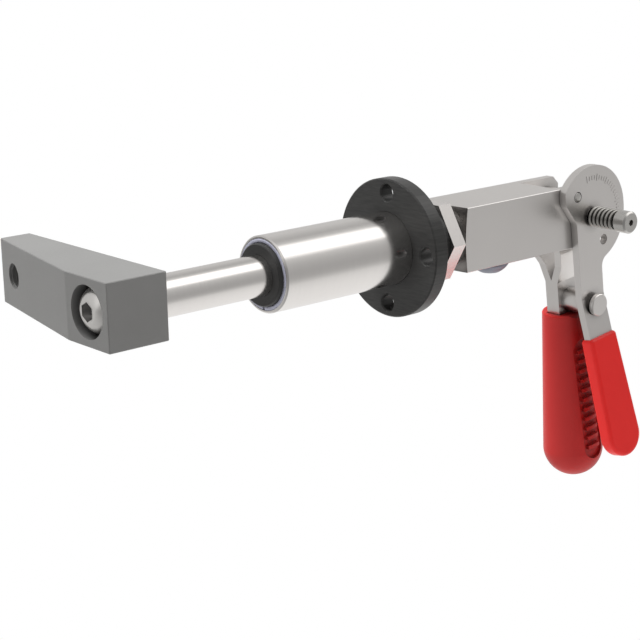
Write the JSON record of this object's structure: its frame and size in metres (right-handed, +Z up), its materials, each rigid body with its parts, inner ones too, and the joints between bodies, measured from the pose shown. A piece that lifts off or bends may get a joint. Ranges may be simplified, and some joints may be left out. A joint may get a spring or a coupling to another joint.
{
  "type": "swing clamp",
  "caption": "Flange-mounted swing clamp: a locking lever handle draws back the plunger and turns its offset arm a quarter turn.",
  "frame": {"origin": "centre of the flange's front mounting face, on the plunger axis", "axes": "-X along the plunger towards the arm, +X towards the handle, +Y along the arm at rest, +Z up with the handle hanging down"},
  "size_m": [0.2726, 0.1162, 0.1534],
  "materials": {
    "nickel": "satin nickel plate",
    "chrome": "hard chrome, ground",
    "black_steel": "black, satin",
    "dark_steel": "dark, satin",
    "bronze": "sintered, satin",
    "zinc": "zinc plate, satin",
    "steel": "machined, satin",
    "arm_steel": "machined bar, satin",
    "spring_steel": "drawn wire",
    "grip_red": "dipped, semi-gloss"
  },
  "bodies": {
    "housing": {"housing": "nickel", "barrel": "chrome", "flange": "black_steel", "lock_nut": "nickel", "front_bush": "dark_steel", "rear_bush": "bronze", "retaining_ring": "zinc", "guide_screw": "zinc", "body_set_screw": "dark_steel", "lock_pin": "steel"},
    "crosshead": {"crosshead": "steel"},
    "plunger": {"plunger_rod": "chrome", "clamp_arm": "arm_steel", "arm_screw": "steel", "arm_dowel": "steel", "swivel_nut": "steel"},
    "handle": {"handle_plate_near": "nickel", "handle_plate_far": "nickel", "handle_grip": "grip_red", "pivot_pin": "steel", "pivot_ring": "dark_steel", "crank_pin": "steel", "fulcrum_pin": "nickel", "fulcrum_spacer": "nickel", "lever_screw": "nickel", "lever_spring": "spring_steel"},
    "lever": {"lock_lever": "nickel", "lever_grip": "grip_red"}
  },
  "joints": [
    {"name": "handle_swing", "type": "hinge", "parent": "housing", "child": "handle", "pos_m": [0.1061, 0, 0], "axis": [0, -1, 0], "range_deg": [0, 90]},
    {"name": "rod_slide", "type": "slide", "parent": "housing", "child": "crosshead", "axis": [1, 0, 0], "range_m": [0, 0.0198]},
    {"name": "arm_swing", "type": "hinge", "parent": "crosshead", "child": "plunger", "pos_m": [0, 0, 0], "axis": [1, 0, 0], "range_deg": [0, 90]},
    {"name": "lever_tilt", "type": "hinge", "parent": "handle", "child": "lever", "pos_m": [0.11052, -0.0136, -0.03603], "axis": [0.9925, 0, 0.1219], "range_deg": [0, 5], "stiffness_Nm_per_rad": 2.7, "springref_deg": -8.59, "deforming": ["lever_spring"]}
  ],
  "couplings": [
    {"joint": "rod_slide", "follows": "handle_swing", "m_per_rad": 0.012604},
    {"joint": "arm_swing", "follows": "handle_swing", "ratio": 1}
  ]
}
